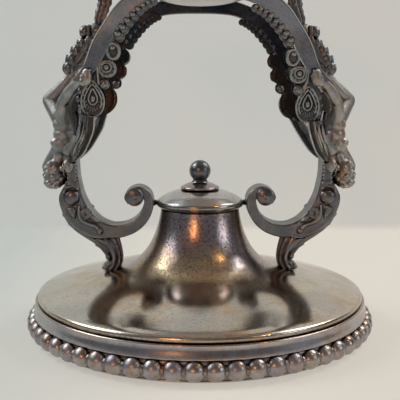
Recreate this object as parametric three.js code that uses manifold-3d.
// Silver-plate brides basket: beaded spun foot, trumpet column, two cast C-scroll supports with winged putti,
// a front and a back arch strap that cradle a ruffled glass bowl, and a swinging bail handle.
// Millimetres, +Z up, origin at the centre of the underside. The supports stand at +X and -X.
import * as THREE from 'three';
import * as BufferGeometryUtils from 'three/addons/utils/BufferGeometryUtils.js';
import Module from 'manifold-3d';

const wasm = await Module();
wasm.setup();

// Fits
const GAP = 0.3; // running gap between neighbouring pieces
const THREAD_GAP = 0.2; // radial gap of a screw or rod in its hole
const PIVOT_GAP = 0.1; // radial gap of the stud in the handle's eye

// Spun foot
const BASE_RADIUS = 82.5; // over the beads
const BEAD_RADIUS = 4.1;
const FOOT_RING_HEIGHT = 1.0;
const FOOT_RING_WIDTH = 10;
const BEAD_OVERHANG = 5.5; // how far the beads stand outside the foot ring
const BAND_HEIGHT = 5.8; // of the band's outer face above the beads
const BAND_INSET = 4.1; // from the outside of the beads to the band's upper arris
const BAND_FLARE = 0.8; // the band's foot stands this much further out than its arris
const SHEET = 1.2; // wall of the spun pieces

// Dome and trumpet column, one spun shell
const ROLL_INSET = 1.4; // from the band's arris to the rolled edge
const ROLL_HEIGHT = 2.8;
const ROLL_WIDTH = 4.2;
const DOME_RISE = 7.4; // from the top of the roll to the ring that the feet stand on
const FOOT_CIRCLE = 43; // radius at which the supports' feet stand
const BELL_FOOT_RADIUS = 27.6;
const BELL_FOOT_RISE = 7.6;
const BELL_WAIST_RADIUS = 21.8;
const BELL_WAIST_RISE = 8.6;
const NECK_RADIUS = 18.6;
const NECK_RISE = 14.8;

// Cap and finial
const CAP_RIM_RADIUS = 20.8;
const CAP_RIM_RISE = 2.6; // of the rim's widest line above the neck's top
const CAP_DOME_RISE = 6.3; // of the cap's crown above the rim's widest line
const PLATE_RADIUS = 9.3;
const PLATE_RIM = 1.7;
const PLATE_RISE = 2.1;
const FINIAL_NECK_RADIUS = 3.4;
const FINIAL_BALL_RADIUS = 5.1;
const FINIAL_NECK_HEIGHT = 5.1; // from the plate to the ball's centre
const TIE_ROD_RADIUS = 2;
const TIE_PLATE_THICKNESS = 2.5;
const TIE_NUT_RADIUS = 4;
const TIE_NUT_HEIGHT = 3;
const ROD_STUB = 3; // of the rod below its nut

// Supports
const LUG_LENGTH = 1.1; // between the cap's rim and the volute
const LUG_RADIUS = 1.3;
const SCROLL_WIDTH = 13; // front face to back face
const EYE_RADIUS = 4.6;
const EYE_PROUD = 0.8;
const BOSS_RADIUS = 3.3;
const FOOT_WIDTH = 9;
const FOOT_SCREW_RADIUS = 1.5;
const FOOT_SCREW_DEPTH = 7; // of thread in the foot
const SCREW_HEAD_RADIUS = 3;
const SCREW_HEAD_HEIGHT = 2;

// Cradle
const FIGURE_RISE = 39; // from the top of the scroll's neck up to the straps' lower ends
const STRAP_THICKNESS = 2.6;
const ARCH_RISE = 41.4; // of the straps' crown above their lower ends
const ARCH_END_Y = 30; // from the axis to the strap's middle plane, at its end and at its crown
const ARCH_CROWN_Y = 36.2;
const SWAG_BIG = 2.2; // radius of the lowest bead
const SWAG_SMALL = 1.4;
const SWAG_SLOPE = 0.8; // run over rise of the strap's inner edge beside the beads
const UNEVEN = 1.2; // left sprays and swags sit this much higher, right ones this much lower, than drawn

// Glass bowl
const BOWL_RIM_RADIUS = 80;
const BOWL_DEPTH = 55.4; // from the rim down to the underside at the centre
const BOWL_WALL = 3;
const RUFFLES = 10; // waves round the rim
const RUFFLE_OUT = 2.4;
const RUFFLE_UP = 3;

// Handle
const PIVOT_RISE = 19.8; // of the pivot above the straps' lower ends
const EAR_INNER_X = 50; // inner face of the bracket's ear
const EAR_THICKNESS = 2;
const EAR_RISE = 3.2; // above the pivot
const STUD_RADIUS = 1.5;
const STUD_HEAD_RADIUS = 2.9;
const STUD_HEAD_LENGTH = 3.1;
const BAIL_THICKNESS = 3.6; // front to back
const BAIL_WIDTH = 7.4; // across the arm
const BAIL_EAR_RADIUS = 4;
const BAIL_EAR_LENGTH = 5; // along the stud
const NUT_RADIUS = 2.3;
const NUT_THICKNESS = 1.8;
const BAIL_HALF_SPAN = 90.5;
const BAIL_RISE = 168.2; // from the pivot to the top of the bail's centre line

// Where the outlines of the supports were drawn: volute's inner line and the cap's rim height
const DRAWN_X = 21.9;
const DRAWN_Z = 59.3;

// Heights at which the outlines above the scroll were drawn
const NECK_Z = 80; // top of the scroll's neck
const DRAWN_END_Z = 119; // lower end of each strap
const DRAWN_FOOT_Z = 121.8; // underside of the bracket
const DRAWN_PIVOT_Z = 138.8;
const DRAWN_CROWN_Z = 160.4; // top edge of the strap at its crown

// Heights and radii that follow from the sizes above
const beadRing = BASE_RADIUS - BEAD_RADIUS;
const beadCount = Math.round(Math.PI / Math.asin(BEAD_RADIUS / beadRing));
const beadZ = FOOT_RING_HEIGHT + GAP + BEAD_RADIUS;
const ledgeZ = beadZ + BEAD_RADIUS + GAP;
const bandTop = ledgeZ + BAND_HEIGHT;
const bandRadius = BASE_RADIUS - BAND_INSET;
const rollRadius = bandRadius - ROLL_INSET;
const rollTop = bandTop + ROLL_HEIGHT;
const domeInner = rollRadius - ROLL_WIDTH;
const footCircleZ = rollTop + DOME_RISE;
const bellFootZ = footCircleZ + BELL_FOOT_RISE;
const waistZ = bellFootZ + BELL_WAIST_RISE;
const neckTop = waistZ + NECK_RISE;
const capRimZ = neckTop + CAP_RIM_RISE;
const crownZ = capRimZ + CAP_DOME_RISE;
const plateTop = crownZ + PLATE_RIM + PLATE_RISE;
const ballZ = plateTop + FINIAL_NECK_HEIGHT;
const shiftX = CAP_RIM_RADIUS + LUG_LENGTH - DRAWN_X; // the supports follow the cap's rim
const shiftZ = capRimZ - DRAWN_Z;
const archEndZ = NECK_Z + FIGURE_RISE;
const pivotZ = archEndZ + PIVOT_RISE;
const archCrownZ = archEndZ + ARCH_RISE;

// Finishes
const plate = (color, roughness) => new THREE.MeshStandardMaterial({ color, roughness, metalness: 1 });
const wornPlate = plate('#8d857b', 0.28);
const castPlate = plate('#5d5753', 0.4);
const brass = plate('#a08252', 0.45);
const milkGlass = new THREE.MeshStandardMaterial({ color: '#e9e7e2', roughness: 0.12, metalness: 0 });

// Fineness of the round pieces
const WIDE_SIDES = 40; // rings of the foot
const CAP_SIDES = 28;
const SMALL_SIDES = 16;

const v2 = (x, z) => new THREE.Vector2(x, z);
const v3 = (x, y, z) => new THREE.Vector3(x, y, z);

/** Closed mesh to a solid: only positions are kept and shared vertices are merged. */
function solid(geometry) {
  const bare = new THREE.BufferGeometry();
  bare.setAttribute('position', geometry.attributes.position.clone());
  if (geometry.index) bare.setIndex(geometry.index.clone());
  const merged = BufferGeometryUtils.mergeVertices(bare, 1e-4);
  return new wasm.Manifold(new wasm.Mesh({
    numProp: 3,
    vertProperties: new Float32Array(merged.attributes.position.array),
    triVerts: new Uint32Array(merged.index.array),
  }));
}

/** Solid back to a three.js geometry. */
function geometryOf(body) {
  const mesh = body.getMesh();
  const geometry = new THREE.BufferGeometry();
  geometry.setAttribute('position', new THREE.BufferAttribute(new Float32Array(mesh.vertProperties), 3));
  geometry.setIndex(new THREE.BufferAttribute(new Uint32Array(mesh.triVerts), 1));
  geometry.computeVertexNormals();
  return geometry;
}

const joined = (geometries) => geometryOf(geometries.map(solid).reduce((a, b) => a.add(b)));
const cutFrom = (geometry, tools) => geometryOf(tools.map(solid).reduce((a, b) => a.subtract(b), solid(geometry)));

/** Ring or turned solid about Z from outline points (radius, height). */
function turned(points, segments) {
  const outline = points.map((p) => v2(p[0], p[1]));
  const closed = outline[0].x < 1e-6 && outline[outline.length - 1].x < 1e-6;
  if (!closed) outline.push(outline[0].clone());
  const geometry = new THREE.LatheGeometry(outline, segments);
  geometry.rotateX(Math.PI / 2);
  return geometry;
}

/** Plate drawn in the XZ plane, its width shared between front and back. */
function plateXZ(shape, width, curveSegments = 6) {
  const geometry = new THREE.ExtrudeGeometry(shape, { depth: width, bevelEnabled: false, curveSegments });
  geometry.translate(0, 0, -width / 2);
  geometry.rotateX(Math.PI / 2);
  return geometry;
}

/** Round bar between two points. */
function bar(from, to, radius, sides = 12) {
  const axis = to.clone().sub(from);
  const geometry = new THREE.CylinderGeometry(radius, radius, axis.length(), sides);
  geometry.applyQuaternion(new THREE.Quaternion().setFromUnitVectors(v3(0, 1, 0), axis.clone().normalize()));
  const middle = from.clone().add(to).multiplyScalar(0.5);
  geometry.translate(middle.x, middle.y, middle.z);
  return geometry;
}

/** Ellipsoid with the given half sizes. */
function egg(centre, rx, ry, rz, sides = 8, rings = 5) {
  const geometry = new THREE.SphereGeometry(1, sides, rings);
  geometry.scale(rx, rz, ry);
  geometry.rotateX(Math.PI / 2);
  geometry.translate(centre.x, centre.y, centre.z);
  return geometry;
}

/** Rounded bar along a path: at each point an oval of half sizes a (across, in the given plane) and b. */
function sweep(path, normal, a, b, sides, closedPath = false) {
  const count = path.length;
  const positions = [];
  const faces = [];
  const across = v3(0, 0, 0);
  path.forEach((point, i) => {
    const before = path[closedPath ? (i + count - 1) % count : Math.max(i - 1, 0)];
    const after = path[closedPath ? (i + 1) % count : Math.min(i + 1, count - 1)];
    const along = after.clone().sub(before).normalize();
    const n = (typeof normal === 'function' ? normal(i) : normal).clone();
    n.sub(along.clone().multiplyScalar(n.dot(along))).normalize();
    across.crossVectors(n, along);
    for (let k = 0; k < sides; k += 1) {
      const angle = (2 * Math.PI * (k + 0.5)) / sides;
      const ring = point.clone();
      ring.addScaledVector(across, a(i) * Math.cos(angle));
      ring.addScaledVector(n, b(i) * Math.sin(angle));
      positions.push(ring.x, ring.y, ring.z);
    }
  });
  const spans = closedPath ? count : count - 1;
  for (let i = 0; i < spans; i += 1) {
    for (let k = 0; k < sides; k += 1) {
      const here = i * sides;
      const next = ((i + 1) % count) * sides;
      const k2 = (k + 1) % sides;
      faces.push(here + k, here + k2, next + k2, here + k, next + k2, next + k);
    }
  }
  if (!closedPath) {
    for (let k = 1; k < sides - 1; k += 1) {
      const last = (count - 1) * sides;
      faces.push(0, k + 1, k, last, last + k, last + k + 1);
    }
  }
  const geometry = new THREE.BufferGeometry();
  geometry.setAttribute('position', new THREE.Float32BufferAttribute(positions, 3));
  geometry.setIndex(faces);
  geometry.computeVertexNormals();
  return geometry;
}

/** Mirror image across x = 0 or y = 0, or both. */
function mirrored(geometry, signX, signY) {
  const copy = geometry.clone().scale(signX, signY, 1);
  if (signX * signY < 0) {
    const source = copy.index ? copy : BufferGeometryUtils.mergeVertices(copy);
    const index = source.index.array;
    for (let i = 0; i < index.length; i += 3) {
      const swap = index[i];
      index[i] = index[i + 1];
      index[i + 1] = swap;
    }
    source.computeVertexNormals();
    return source;
  }
  return copy;
}

/** Moves a piece drawn above the neck so that its neck, strap end, pivot and crown levels are at the built heights. */
function raised(geometry) {
  const drawn = [NECK_Z, DRAWN_END_Z, DRAWN_PIVOT_Z, DRAWN_CROWN_Z];
  const built = [NECK_Z, archEndZ, pivotZ, archCrownZ];
  const position = geometry.attributes.position;
  for (let i = 0; i < position.count; i += 1) {
    const z = position.getZ(i);
    const below = drawn.slice(0, -1).findLastIndex((level) => level < z);
    if (below >= 0) {
      const t = (z - drawn[below]) / (drawn[below + 1] - drawn[below]);
      position.setZ(i, mix(built[below], built[below + 1], t));
    }
  }
  return geometry;
}

const smooth = (points, count) => new THREE.CatmullRomCurve3(points, false, 'centripetal').getPoints(count);
const mix = (a, b, t) => a + (b - a) * t;

/** Outer line of the dome and column, from the roll up to the neck's top. */
const domeLine = new THREE.SplineCurve([
  v2(domeInner, rollTop - 0.2),
  v2(mix(domeInner, FOOT_CIRCLE, 0.5), mix(rollTop, footCircleZ, 0.42)),
  v2(FOOT_CIRCLE, footCircleZ),
  v2(mix(FOOT_CIRCLE, BELL_FOOT_RADIUS, 0.55), mix(footCircleZ, bellFootZ, 0.43)),
  v2(BELL_FOOT_RADIUS, bellFootZ),
  v2(BELL_WAIST_RADIUS, waistZ),
  v2(NECK_RADIUS, neckTop),
]);

/** Height of the dome's outer surface at a radius, by stepping along its line. */
function domeHeight(radius) {
  const line = domeLine.getPoints(200);
  const i = line.findIndex((p) => p.x <= radius);
  const t = (radius - line[i - 1].x) / (line[i].x - line[i - 1].x);
  return mix(line[i - 1].y, line[i].y, t);
}

/** Radius of the column's inner wall at a height. */
function boreRadius(z) {
  const line = domeLine.getPoints(200);
  const i = line.findIndex((p) => p.y >= z);
  return line[i].x - SHEET * 1.15;
}

function footRing() {
  const outer = BASE_RADIUS - BEAD_OVERHANG;
  return turned([
    [outer, 0],
    [outer, FOOT_RING_HEIGHT],
    [outer - FOOT_RING_WIDTH, FOOT_RING_HEIGHT],
    [outer - FOOT_RING_WIDTH, 0],
  ], WIDE_SIDES);
}

/** Ring of touching beads: a torus whose section swells and narrows once for each bead. */
function beadWire() {
  const stations = beadCount * 2;
  const size = (i) => (i % 2 === 0 ? 1 : 0.5) * BEAD_RADIUS;
  const path = Array.from({ length: stations }, (_, i) => {
    const angle = (2 * Math.PI * i) / stations;
    return v3(beadRing * Math.cos(angle), beadRing * Math.sin(angle), beadZ);
  });
  return sweep(path, v3(0, 0, 1), size, size, 6, true);
}

function sideBand() {
  const behindBeads = BASE_RADIUS - 2 * BEAD_RADIUS - GAP;
  return turned([
    [behindBeads, FOOT_RING_HEIGHT],
    [behindBeads, ledgeZ],
    [bandRadius + BAND_FLARE, ledgeZ],
    [bandRadius, bandTop],
    [domeInner, bandTop],
    [domeInner, bandTop - SHEET],
    [behindBeads - SHEET, bandTop - 2 * SHEET],
    [behindBeads - SHEET, FOOT_RING_HEIGHT],
  ], WIDE_SIDES);
}

/** Spun shell: rolled edge, dome and trumpet column, open below, holed for the two foot screws. */
function baseDome(screwHoles) {
  const outer = domeLine.getPoints(8);
  const inner = outer.map((p, i) => {
    const a = outer[Math.max(i - 1, 0)];
    const b = outer[Math.min(i + 1, outer.length - 1)];
    const along = b.clone().sub(a).normalize();
    return v2(p.x - along.y * SHEET, p.y + along.x * SHEET);
  });
  const top = inner[inner.length - 1];
  top.y = neckTop;
  const profile = [
    [domeInner + GAP, bandTop],
    [rollRadius - 0.25 * ROLL_WIDTH, bandTop],
    [rollRadius, bandTop + 0.35 * ROLL_HEIGHT],
    [rollRadius - 0.16 * ROLL_WIDTH, bandTop + 0.8 * ROLL_HEIGHT],
    [rollRadius - 0.5 * ROLL_WIDTH, rollTop],
    ...outer.map((p) => [p.x, p.y]),
    ...inner.reverse().map((p) => [p.x, p.y]),
  ];
  return cutFrom(turned(profile, WIDE_SIDES), screwHoles);
}

/** Cap: rounded rim and low dome, flat underneath, holed for the tie rod. */
function columnCap() {
  const hole = TIE_ROD_RADIUS + THREAD_GAP;
  return turned([
    [NECK_RADIUS - 0.3, neckTop],
    [CAP_RIM_RADIUS - 1.2, neckTop + 0.4 * CAP_RIM_RISE],
    [CAP_RIM_RADIUS - 0.2, capRimZ - 0.7],
    [CAP_RIM_RADIUS, capRimZ],
    [CAP_RIM_RADIUS - 0.4, capRimZ + 1],
    [CAP_RIM_RADIUS - 2, capRimZ + 0.34 * CAP_DOME_RISE],
    [0.78 * CAP_RIM_RADIUS, capRimZ + 0.62 * CAP_DOME_RISE],
    [0.58 * CAP_RIM_RADIUS, capRimZ + 0.87 * CAP_DOME_RISE],
    [PLATE_RADIUS - 1, crownZ],
    [hole, crownZ],
    [hole, crownZ - SHEET],
    [PLATE_RADIUS - 1, crownZ - SHEET],
    [0.72 * CAP_RIM_RADIUS, capRimZ + 0.4 * CAP_DOME_RISE],
    [NECK_RADIUS - 3, neckTop + SHEET],
    [NECK_RADIUS - 3, neckTop],
  ], CAP_SIDES);
}

function finialPlate() {
  const hole = TIE_ROD_RADIUS + THREAD_GAP;
  return turned([
    [PLATE_RADIUS - 1, crownZ],
    [PLATE_RADIUS, crownZ + 0.5 * PLATE_RIM],
    [PLATE_RADIUS - 0.6, crownZ + PLATE_RIM],
    [0.6 * PLATE_RADIUS, crownZ + PLATE_RIM + 0.65 * PLATE_RISE],
    [FINIAL_NECK_RADIUS + 0.6, plateTop],
    [hole, plateTop],
    [hole, crownZ],
  ], SMALL_SIDES);
}

/** Finial: short neck and ball, with a blind hole for the rod's upper end. */
function finialKnob() {
  const blindTop = ballZ;
  const hole = TIE_ROD_RADIUS + THREAD_GAP;
  const ball = [];
  const from = Math.acos((0.86 * FINIAL_NECK_RADIUS) / FINIAL_BALL_RADIUS);
  const steps = 6;
  for (let i = 0; i <= steps; i += 1) {
    const angle = mix(-from, Math.PI / 2, i / steps);
    ball.push([i === steps ? 0 : FINIAL_BALL_RADIUS * Math.cos(angle), ballZ + FINIAL_BALL_RADIUS * Math.sin(angle)]);
  }
  return turned([
    [0, blindTop],
    [hole, blindTop],
    [hole, plateTop],
    [FINIAL_NECK_RADIUS + 0.4, plateTop],
    ...ball,
  ], SMALL_SIDES);
}

// The tie plate bears on the trumpet's inner wall where the wall has this radius
const tiePlateZ = mix(bellFootZ, waistZ, 0.45);
const tiePlateRadius = boreRadius(tiePlateZ + TIE_PLATE_THICKNESS) - GAP;

function tieRod() {
  const from = tiePlateZ - TIE_NUT_HEIGHT - ROD_STUB;
  return bar(v3(0, 0, from), v3(0, 0, ballZ - GAP), TIE_ROD_RADIUS, 16);
}

function tiePlate() {
  const hole = TIE_ROD_RADIUS + THREAD_GAP;
  return turned([
    [hole, tiePlateZ],
    [tiePlateRadius, tiePlateZ],
    [tiePlateRadius, tiePlateZ + TIE_PLATE_THICKNESS],
    [hole, tiePlateZ + TIE_PLATE_THICKNESS],
  ], 24);
}

function tieNut() {
  const hole = TIE_ROD_RADIUS + THREAD_GAP;
  const body = bar(v3(0, 0, tiePlateZ - TIE_NUT_HEIGHT), v3(0, 0, tiePlateZ), TIE_NUT_RADIUS, 6);
  return cutFrom(body, [bar(v3(0, 0, tiePlateZ - 2 * TIE_NUT_HEIGHT), v3(0, 0, tiePlateZ + 1), hole, 16)]);
}

// Drawn sizes of the support, right-hand side, front view
const SCROLL_FLOOR_Z = 43.1; // flat on which the scroll sits on its foot
const SCROLL_FLOOR_IN = 38.6;
const SCROLL_FLOOR_OUT = 49.6;
const EYE_X = 30.8;
const EYE_Z = 62.7;
const NECK_IN_X = 57.3;
const NECK_OUT_X = 61.8;
const BOSS_X = 60.2;
const BOSS_Z = 63;

/** C-scroll: volute towards the column, open C, and a flat neck that stands up behind the putto. */
function scroll() {
  const shape = new THREE.Shape();
  shape.moveTo(NECK_IN_X, NECK_Z);
  shape.lineTo(NECK_OUT_X, NECK_Z);
  shape.splineThru([
    v2(61.9, 70.6), v2(64.2, 66.6), v2(66.2, 62.4), v2(65.4, 57.4), v2(62.4, 51.8), v2(58, 47.3),
    v2(SCROLL_FLOOR_OUT, SCROLL_FLOOR_Z),
  ]);
  shape.lineTo(SCROLL_FLOOR_IN, SCROLL_FLOOR_Z);
  shape.splineThru([
    v2(34.3, 44.2), v2(29.8, 46.3), v2(25.5, 50.2), v2(22.8, 55), v2(DRAWN_X, 60.3),
    v2(23.6, 65.2), v2(28.5, 67.7), v2(33.5, 66.3), v2(35.8, 62.5), v2(34.2, 58.9), v2(30.8, 57.6),
  ]);
  shape.lineTo(28.6, 58.6);
  shape.splineThru([
    v2(27.2, 57), v2(28.6, 54.6), v2(31.2, 51.9), v2(34.8, 49.9), v2(39, 49.2), v2(43.2, 49.8),
    v2(47.2, 51.8), v2(51.3, 56.1), v2(54.1, 61), v2(56, 66), v2(56.9, 72.3), v2(NECK_IN_X, NECK_Z),
  ]);
  const body = plateXZ(shape, SCROLL_WIDTH, 2);
  const half = SCROLL_WIDTH / 2 + EYE_PROUD;
  const eye = bar(v3(EYE_X, -half, EYE_Z), v3(EYE_X, half, EYE_Z), EYE_RADIUS, 16);
  const boss = bar(v3(BOSS_X, -half, BOSS_Z), v3(BOSS_X, half, BOSS_Z), BOSS_RADIUS, 12);
  return joined([body, eye, boss]);
}

/** Acanthus foot: S-shaped, toe outwards, its sole following the dome. */
function acanthusFoot(screwHole) {
  const heelX = 39.6;
  const toeX = 46.9;
  const sole = (x) => domeHeight(x + shiftX) + GAP - shiftZ;
  const shape = new THREE.Shape();
  shape.moveTo(SCROLL_FLOOR_IN, SCROLL_FLOOR_Z - GAP);
  shape.splineThru([v2(37.2, 37), v2(36.7, 32.8), v2(37.4, 29.6), v2(heelX, sole(heelX))]);
  shape.lineTo(toeX, sole(toeX));
  shape.splineThru([
    v2(46.4, 28), v2(43.9, 30.7), v2(42.8, 33.3), v2(44.2, 36.4), v2(47.4, 39.8),
    v2(SCROLL_FLOOR_OUT, SCROLL_FLOOR_Z - GAP),
  ]);
  shape.closePath();
  return cutFrom(plateXZ(shape, FOOT_WIDTH, 2), [screwHole]);
}

const FOOT_SCREW_X = 41.6;
const screwTop = () => domeHeight(FOOT_SCREW_X + shiftX) - shiftZ + FOOT_SCREW_DEPTH;
const screwSeat = () => domeHeight(FOOT_SCREW_X + shiftX + SCREW_HEAD_RADIUS) - shiftZ - 1.3 * SHEET - GAP;

/** Screw from under the dome into the foot. */
function footScrew() {
  const seat = screwSeat();
  const head = bar(v3(FOOT_SCREW_X, 0, seat - SCREW_HEAD_HEIGHT), v3(FOOT_SCREW_X, 0, seat), SCREW_HEAD_RADIUS, 12);
  const shank = bar(v3(FOOT_SCREW_X, 0, seat - 0.5), v3(FOOT_SCREW_X, 0, screwTop()), FOOT_SCREW_RADIUS, 12);
  return joined([head, shank]);
}

function screwHole(clearance) {
  const low = screwSeat() - 6;
  return bar(v3(FOOT_SCREW_X, 0, low), v3(FOOT_SCREW_X, 0, screwTop() + GAP), FOOT_SCREW_RADIUS + clearance, 12);
}

/** Pin between the cap's rim and the volute. */
function capLug() {
  const inner = DRAWN_X - LUG_LENGTH + GAP;
  return bar(v3(inner, 0, DRAWN_Z), v3(DRAWN_X - GAP, 0, DRAWN_Z), LUG_RADIUS, 10);
}

/** Limb between points, an oval bar that swells and narrows. */
function limb(points, radii) {
  const path = smooth(points, 4);
  const size = (i) => {
    const t = (i / (path.length - 1)) * (radii.length - 1);
    const k = Math.min(Math.floor(t), radii.length - 2);
    return mix(radii[k], radii[k + 1], t - k);
  };
  return sweep(path, v3(0.3, 0.2, 0.93), size, size, 5);
}

/** Putto, head down: one foot up at the front strap's end, the other under the handle's bracket. */
function putto() {
  return raised(joined([
    egg(v3(68.7, 0, 73), 5.2, 5.8, 6.4, 10, 6),
    limb([v3(68, 0, 76), v3(66.6, 0, 80), v3(65.8, 0, 85)], [3, 2.9, 4]),
    egg(v3(65.8, 0, 86.6), 4.1, 7.6, 5.2),
    egg(v3(61.4, 0, NECK_Z + GAP + 4.6), 4, 5.6, 4.6),
    egg(v3(65.4, 0, 93.6), 4.1, 5.8, 6.6),
    egg(v3(65, 0, 99.6), 4.2, 6.4, 4.6),
    limb([v3(65, -3.6, 99), v3(64, -6.6, 104), v3(62.4, -9.4, 108.4)], [3.6, 3.2, 2.5]),
    limb([v3(62.4, -9.4, 108.4), v3(57.4, -15, 112), v3(51, -27.6, 116.8)], [2.5, 2.3, 1.6]),
    egg(v3(50.4, -ARCH_END_Y + 1, DRAWN_END_Z - GAP - 1.6), 2.6, 3, 1.6),
    limb([v3(65, 3.6, 99), v3(68.6, 6.8, 103.6), v3(72.4, 9, 108.2)], [3.6, 3.1, 2.4]),
    limb([v3(72.4, 9, 108.2), v3(67.2, 6.4, 114), v3(62, 2.6, 118.8)], [2.4, 2.2, 1.6]),
    egg(v3(60.4, 1.4, DRAWN_FOOT_Z - GAP - 1.7), 2.6, 2.4, 1.7),
    limb([v3(66.4, 6.6, 86), v3(71, 8.8, 81), v3(73.6, 8, 76.4)], [2.4, 2, 1.7]),
    limb([v3(73.6, 8, 76.4), v3(73, 6.6, 72.4), v3(71, 4.6, 69)], [1.7, 1.5, 1.3]),
    limb([v3(66.4, -6.6, 86), v3(67.4, -8.8, 81.6), v3(67.6, -8.6, 77)], [2.4, 2, 1.7]),
    limb([v3(67.6, -8.6, 77), v3(68.4, -7, 73), v3(69, -4.6, 69)], [1.7, 1.5, 1.3]),
  ]));
}

/** Distance of the strap's middle plane from the axis at a drawn height. */
const strapY = (z) => mix(ARCH_END_Y, ARCH_CROWN_Y, (z - DRAWN_END_Z) / (DRAWN_CROWN_Z - DRAWN_END_Z));

/** Moves every point of a geometry to the front by a distance that depends on its height. */
function leaned(geometry, distance) {
  const position = geometry.attributes.position;
  for (let i = 0; i < position.count; i += 1) {
    position.setY(i, position.getY(i) - distance(position.getZ(i)));
  }
  return geometry;
}

const WING_THICKNESS = 2.2;
const WING_ROOT_Y = SCROLL_WIDTH / 2 + GAP + WING_THICKNESS / 2;
const WING_ROOT_Z = 80.4;
const WING_TOP_Y = 27.8;
const WING_TOP_Z = 100.2;

/** Wing: feathered plate from the side of the neck out and up to the cartouche, which sits higher by the lift. */
function wing(lift) {
  const shape = new THREE.Shape();
  const top = WING_TOP_Z + lift;
  shape.moveTo(60, 78.4);
  shape.lineTo(57.6, 78.4);
  shape.splineThru([v2(56, 81.2), v2(51, 88.8), v2(47.4, 95), v2(46, top)]);
  shape.lineTo(52.6, top);
  shape.splineThru([v2(54.2, 103.6), v2(57, 106)]);
  shape.splineThru([v2(56.4, 99.6), v2(58.2, 93), v2(59.6, 86), v2(60, 78.4)]);
  const forward = (z) => {
    const t = (z - WING_ROOT_Z) / (top - WING_ROOT_Z);
    return mix(WING_ROOT_Y, WING_TOP_Y, Math.min(Math.max(t, 0), 1));
  };
  return raised(leaned(plateXZ(shape, WING_THICKNESS, 3), forward));
}

/** Spray: cartouche, small bead and two rosettes on one stem, a single openwork casting. */
function spray(lift) {
  const spots = [
    [46.4 + 0.4 * lift, 106.7 + lift, 4.6, 6],
    [41.4, 113.8 + lift, 2.2, 2.2],
    [40.3 - 0.5 * lift, 120 + lift, 3.4, 3.3],
    [37.7 - 0.5 * lift, 127.4 + lift, 3, 3.4],
  ];
  const at = ([x, z]) => v3(x, -strapY(z), z);
  const parts = spots.map((spot) => egg(at(spot), spot[2], 1.6, spot[3], 8, 3));
  return raised(joined([...parts, sweep(spots.map(at), v3(0, 1, 0), () => 1.5, () => 0.9, 4)]));
}

const strapOuter = [v2(52.4, DRAWN_END_Z + 0.6), v2(49.8, 123.6), v2(46.1, 132.6), v2(40.9, 140.7), v2(36.2, 147)];
const strapShoulder = [v2(29.5, 152.6), v2(20, 156.6), v2(10, DRAWN_CROWN_Z - 0.9), v2(0, DRAWN_CROWN_Z)];
const strapInner = [v2(0, 151), v2(10, 150.9), v2(18, 150.2), v2(24, 148.1), v2(29, 144.9), v2(34.4, 139.4)];
const strapFoot = [v2(38.4, 133.8), v2(41, 128.6), v2(44, 123.4), v2(48, DRAWN_END_Z)];

/** Arch strap: flat bar drawn in the XZ plane, leaning outwards as it rises. */
function archStrap() {
  const rightOuter = new THREE.SplineCurve([...strapOuter, ...strapShoulder]).getPoints(14);
  const rightInner = new THREE.SplineCurve([...strapInner, ...strapFoot]).getPoints(13);
  const flip = (p) => v2(-p.x, p.y);
  const outer = [...rightOuter, ...rightOuter.slice(0, -1).reverse().map(flip)];
  const inner = [...rightInner.slice(1).reverse().map(flip), ...rightInner];
  return raised(leaned(plateXZ(new THREE.Shape([...outer, ...inner]), STRAP_THICKNESS), strapY));
}

/** Graduated beads on a wire along the inner edge of the strap above the spray. */
function beadSwag(lift) {
  const centres = [v2(35.2, 133.3), v2(32.4, 137.2), v2(29.3, 140.7), v2(26.2, 143.7), v2(23.3, 145.7)];
  const points = centres.map((p) => v3(p.x - SWAG_SLOPE * lift, -strapY(p.y + lift), p.y + lift));
  const beads = points.map((p, i) => {
    const r = mix(SWAG_BIG, SWAG_SMALL, i / (points.length - 1));
    return egg(p, r, r, r, 6, 3);
  });
  return raised(joined([...beads, sweep(points, v3(0, 1, 0), () => 0.7, () => 0.7, 4)]));
}

const earOuter = EAR_INNER_X + EAR_THICKNESS;
const BRACKET_WIDTH = 6;

/** Bracket under the pivot: an ear with a hole, widening down to the putto's raised foot. */
function bracket() {
  const shape = new THREE.Shape();
  shape.moveTo(EAR_INNER_X, DRAWN_PIVOT_Z + EAR_RISE);
  shape.lineTo(EAR_INNER_X, DRAWN_PIVOT_Z - 5);
  shape.splineThru([v2(50.8, 129.6), v2(53, 125.4), v2(56.4, DRAWN_FOOT_Z)]);
  shape.lineTo(61, DRAWN_FOOT_Z);
  const shoulderZ = DRAWN_PIVOT_Z - STUD_HEAD_RADIUS - 1;
  shape.splineThru([v2(59.6, 124.4), v2(57.6, 127.6), v2(55.6, 130), v2(55.2, shoulderZ)]);
  shape.lineTo(earOuter, shoulderZ);
  shape.lineTo(earOuter, DRAWN_PIVOT_Z + EAR_RISE);
  shape.closePath();
  const hole = bar(v3(EAR_INNER_X - 1, 0, pivotZ), v3(earOuter + 1, 0, pivotZ), STUD_RADIUS + THREAD_GAP, 16);
  return cutFrom(raised(plateXZ(shape, BRACKET_WIDTH, 3)), [hole]);
}

const bailEarOuter = EAR_INNER_X - GAP;
const bailEarInner = bailEarOuter - BAIL_EAR_LENGTH;
const nutOuter = bailEarInner - GAP;
const nutInner = nutOuter - NUT_THICKNESS;

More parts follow.
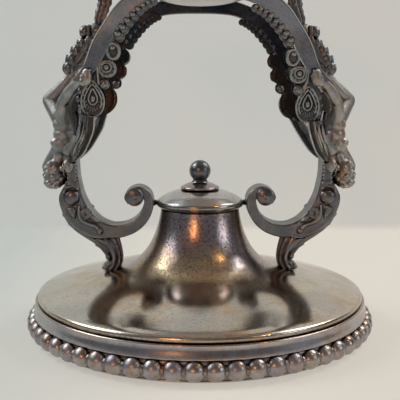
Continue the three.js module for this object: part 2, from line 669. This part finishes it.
/** Stud: domed head outside the bracket's ear, shank through the bail's ear and the nut. */
function pivotStud() {
  const headFrom = earOuter + GAP;
  const head = turned([
    [0, 0], [STUD_HEAD_RADIUS, 0], [STUD_HEAD_RADIUS, 0.45 * STUD_HEAD_LENGTH],
    [0.75 * STUD_HEAD_RADIUS, 0.85 * STUD_HEAD_LENGTH], [0, STUD_HEAD_LENGTH],
  ], 16);
  head.rotateY(Math.PI / 2);
  head.translate(headFrom, 0, pivotZ);
  const shank = bar(v3(nutInner - 0.6, 0, pivotZ), v3(headFrom + 0.5, 0, pivotZ), STUD_RADIUS, 16);
  return joined([head, shank]);
}

function pivotNut() {
  const body = bar(v3(nutInner, 0, pivotZ), v3(nutOuter, 0, pivotZ), NUT_RADIUS, 6);
  const hole = bar(v3(nutInner - 1, 0, pivotZ), v3(nutOuter + 1, 0, pivotZ), STUD_RADIUS + THREAD_GAP, 16);
  return cutFrom(body, [hole]);
}

/** Underside of the bowl from the centre out to the rim, as radius and rise above its lowest point. */
const bowlOutside = new THREE.SplineCurve([
  v2(0, 0), v2(0.2 * BOWL_RIM_RADIUS, 0.038 * BOWL_DEPTH), v2(0.4375 * BOWL_RIM_RADIUS, 0.175 * BOWL_DEPTH),
  v2(0.675 * BOWL_RIM_RADIUS, 0.444 * BOWL_DEPTH), v2(0.85 * BOWL_RIM_RADIUS, 0.758 * BOWL_DEPTH),
  v2(0.925 * BOWL_RIM_RADIUS, 0.9025 * BOWL_DEPTH), v2(BOWL_RIM_RADIUS, BOWL_DEPTH),
]).getPoints(7);

/** Rise of the bowl's underside at a radius. */
function bowlRise(radius) {
  const i = bowlOutside.findIndex((p) => p.x >= radius);
  const t = (radius - bowlOutside[i - 1].x) / (bowlOutside[i].x - bowlOutside[i - 1].x);
  return mix(bowlOutside[i - 1].y, bowlOutside[i].y, t);
}

// The bowl lies on the inner top edges of the two straps
const bowlLowest = archCrownZ + GAP - bowlRise(ARCH_CROWN_Y - STRAP_THICKNESS / 2);
const bowlRimZ = bowlLowest + BOWL_DEPTH;

/** Bail: lyre-shaped arms that pass outside the bowl and meet in a round top. */
function bail() {
  const earX = (bailEarOuter + bailEarInner) / 2 + shiftX;
  const bailTopZ = pivotZ + BAIL_RISE;
  const underBowl = (share) => mix(pivotZ, bowlRimZ, share);
  const overBowl = (share) => mix(bowlRimZ, bailTopZ, share);
  const right = [
    v3(earX, 0, pivotZ), v3(46.2 + shiftX, 0, pivotZ + 6), v3(43.6 + shiftX, 0, pivotZ + 15),
    v3(46.2, 0, underBowl(0.336)), v3(57.4, 0, underBowl(0.47)), v3(69, 0, underBowl(0.628)),
    v3(79.6, 0, underBowl(0.807)), v3(BAIL_HALF_SPAN - 3.1, 0, bowlRimZ),
    v3(BAIL_HALF_SPAN, 0, overBowl(0.158)), v3(BAIL_HALF_SPAN - 1.4, 0, overBowl(0.356)),
    v3(0.884 * BAIL_HALF_SPAN, 0, overBowl(0.614)), v3(0.685 * BAIL_HALF_SPAN, 0, overBowl(0.812)),
    v3(0.398 * BAIL_HALF_SPAN, 0, overBowl(0.946)), v3(0.144 * BAIL_HALF_SPAN, 0, overBowl(0.994)),
  ];
  const left = right.map((p) => v3(-p.x, 0, p.z)).reverse();
  const steps = 48;
  const path = smooth([...right, v3(0, 0, bailTopZ), ...left], steps);
  const half = (i) => {
    const fromEnd = Math.min(i, steps - i);
    return (BAIL_WIDTH / 2) * mix(0.62, 1, Math.min(fromEnd / 3, 1)) * mix(1, 0.72, Math.min(fromEnd / 20, 1));
  };
  const loop = sweep(path, v3(0, 1, 0), half, () => BAIL_THICKNESS / 2, 6);
  const inset = shiftX;
  const ears = [1, -1].flatMap((s) => [
    bar(v3(s * (bailEarInner + inset), 0, pivotZ), v3(s * (bailEarOuter + inset), 0, pivotZ), BAIL_EAR_RADIUS, 20),
  ]);
  const holes = [1, -1].map((s) => bar(
    v3(s * (bailEarInner + inset - 6), 0, pivotZ),
    v3(s * (bailEarOuter + inset + 6), 0, pivotZ),
    STUD_RADIUS + PIVOT_GAP,
    16,
  ));
  return cutFrom(joined([loop, ...ears]), holes);
}

/** Bowl outline: outer side from the centre out to the rim, then the inner side back. */
function bowlProfile() {
  const outer = bowlOutside.map((p) => v2(p.x, p.y + bowlLowest));
  const inner = outer.map((p, i) => {
    const a = outer[Math.max(i - 1, 0)];
    const b = outer[Math.min(i + 1, outer.length - 1)];
    const along = b.clone().sub(a).normalize();
    return v2(p.x - along.y * BOWL_WALL, p.y + along.x * BOWL_WALL);
  });
  inner[0].set(0, bowlLowest + BOWL_WALL);
  return [...outer, ...inner.reverse()];
}

/** Glass bowl: turned, then its rim waved up and down and in and out. */
function glassBowl() {
  const geometry = turned(bowlProfile().map((p) => [p.x, p.y]), 4 * RUFFLES);
  const position = geometry.attributes.position;
  const p = v3(0, 0, 0);
  for (let i = 0; i < position.count; i += 1) {
    p.fromBufferAttribute(position, i);
    const r = Math.hypot(p.x, p.y);
    const t = Math.max(0, (r - 62) / (BOWL_RIM_RADIUS - 62));
    const wave = -Math.cos(RUFFLES * Math.atan2(p.y, p.x)) * t * t;
    const grow = r > 0 ? (r + RUFFLE_OUT * wave) / r : 1;
    position.setXYZ(i, p.x * grow, p.y * grow, p.z - RUFFLE_UP * wave);
  }
  geometry.computeVertexNormals();
  return geometry;
}

const assembly = new THREE.Group();

function add(parent, name, geometry, material) {
  const mesh = new THREE.Mesh(geometry, material);
  mesh.name = name;
  parent.add(mesh);
}

// Middle: everything on the axis
const holesInDome = [1, -1].map((s) => {
  const hole = screwHole(THREAD_GAP + 0.2);
  hole.translate(shiftX, 0, shiftZ);
  return mirrored(hole, s, 1);
});
add(assembly, 'foot_ring', footRing(), wornPlate);
add(assembly, 'bead_wire', beadWire(), wornPlate);
add(assembly, 'side_band', sideBand(), wornPlate);
add(assembly, 'base_dome', baseDome(holesInDome), wornPlate);
add(assembly, 'column_cap', columnCap(), wornPlate);
add(assembly, 'finial_plate', finialPlate(), wornPlate);
add(assembly, 'finial_knob', finialKnob(), castPlate);
add(assembly, 'tie_rod', tieRod(), brass);
add(assembly, 'tie_plate', tiePlate(), brass);
add(assembly, 'tie_nut', tieNut(), brass);

// Sides: drawn once on the right, mirrored to the left
for (const [side, s] of [['left', -1], ['right', 1]]) {
  const lift = -s * UNEVEN;
  const support = new THREE.Group();
  support.position.set(s * shiftX, 0, shiftZ);
  assembly.add(support);
  add(support, `scroll_${side}`, mirrored(scroll(), s, 1), castPlate);
  add(support, `foot_${side}`, mirrored(acanthusFoot(screwHole(THREAD_GAP)), s, 1), castPlate);
  add(support, `foot_screw_${side}`, mirrored(footScrew(), s, 1), brass);
  add(support, `cap_lug_${side}`, mirrored(capLug(), s, 1), castPlate);
  add(support, `putto_${side}`, mirrored(putto(), s, 1), castPlate);
  add(support, `bracket_${side}`, mirrored(bracket(), s, 1), castPlate);
  add(support, `pivot_stud_${side}`, mirrored(pivotStud(), s, 1), castPlate);
  add(support, `pivot_nut_${side}`, mirrored(pivotNut(), s, 1), castPlate);
  for (const [face, f] of [['front', 1], ['back', -1]]) {
    add(support, `wing_${face}_${side}`, mirrored(wing(lift), s, f), castPlate);
    add(support, `spray_${face}_${side}`, mirrored(spray(lift), s, f), castPlate);
    add(support, `bead_swag_${face}_${side}`, mirrored(beadSwag(lift), s, f), castPlate);
  }
}

// Cradle, bowl and handle, carried at the supports' height
const upper = new THREE.Group();
upper.position.z = shiftZ;
assembly.add(upper);
for (const [face, f] of [['front', 1], ['back', -1]]) {
  add(upper, `${face}_arch`, mirrored(archStrap(), 1, f), castPlate);
}
add(upper, 'glass_bowl', glassBowl(), milkGlass);
add(upper, 'bail_handle', bail(), castPlate);

export default assembly;
